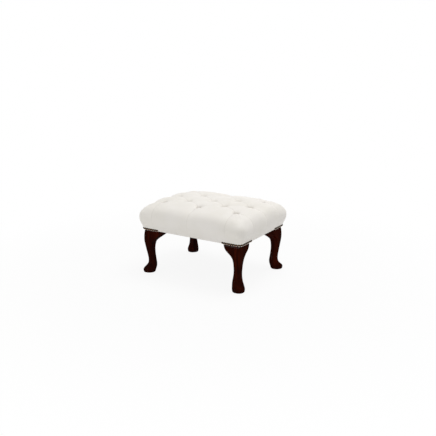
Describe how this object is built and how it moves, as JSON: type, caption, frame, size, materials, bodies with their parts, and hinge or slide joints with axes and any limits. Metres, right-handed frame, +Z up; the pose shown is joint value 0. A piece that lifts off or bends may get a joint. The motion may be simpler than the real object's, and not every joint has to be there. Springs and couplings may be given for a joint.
{
  "type": "footstool",
  "caption": "Low rectangular footstool with a deep-buttoned leather seat, nail-head trim and polished cabriole wooden legs with ears and pad feet.",
  "frame": {"origin": "on the floor under the middle of the seat", "axes": "+X along the seat's length, +Y along its width, +Z up"},
  "size_m": [0.608, 0.475, 0.3725],
  "materials": {
    "ivory_leather": "smooth, satin",
    "mahogany": "dark polished, gloss",
    "beech": "sawn, unpolished",
    "plywood": "sanded, unpolished",
    "foam": "matte, open cell",
    "twine": "waxed",
    "black_cloth": "matte",
    "antique_brass": "antiqued, polished",
    "zinc_steel": "zinc plated",
    "glide_plastic": "matte"
  },
  "bodies": {
    "root": {"rail_long_front": "beech", "rail_long_back": "beech", "rail_short_left": "beech", "rail_short_right": "beech", "rail_dowels": "beech", "corner_block_front_right": "beech", "corner_block_back_right": "beech", "corner_block_back_left": "beech", "corner_block_front_left": "beech", "hanger_bolts": "zinc_steel", "bolt_washers": "zinc_steel", "bolt_nuts": "zinc_steel", "leg_front_right": "mahogany", "ear_front_right_long": "mahogany", "ear_front_right_short": "mahogany", "leg_back_right": "mahogany", "ear_back_right_long": "mahogany", "ear_back_right_short": "mahogany", "leg_back_left": "mahogany", "ear_back_left_long": "mahogany", "ear_back_left_short": "mahogany", "leg_front_left": "mahogany", "ear_front_left_long": "mahogany", "ear_front_left_short": "mahogany", "foot_glides": "glide_plastic", "deck_board": "plywood", "seat_foam": "foam", "tufted_cover": "ivory_leather", "button_01": "ivory_leather", "button_02": "ivory_leather", "button_03": "ivory_leather", "button_04": "ivory_leather", "button_05": "ivory_leather", "button_06": "ivory_leather", "button_07": "ivory_leather", "button_08": "ivory_leather", "button_09": "ivory_leather", "button_10": "ivory_leather", "button_11": "ivory_leather", "button_12": "ivory_leather", "button_13": "ivory_leather", "button_twine": "twine", "twine_washers": "zinc_steel", "nail_row_front_right": "antique_brass", "nail_row_back_right": "antique_brass", "nail_row_back_left": "antique_brass", "nail_row_front_left": "antique_brass", "dust_cover": "black_cloth"}
  },
  "joints": []
}
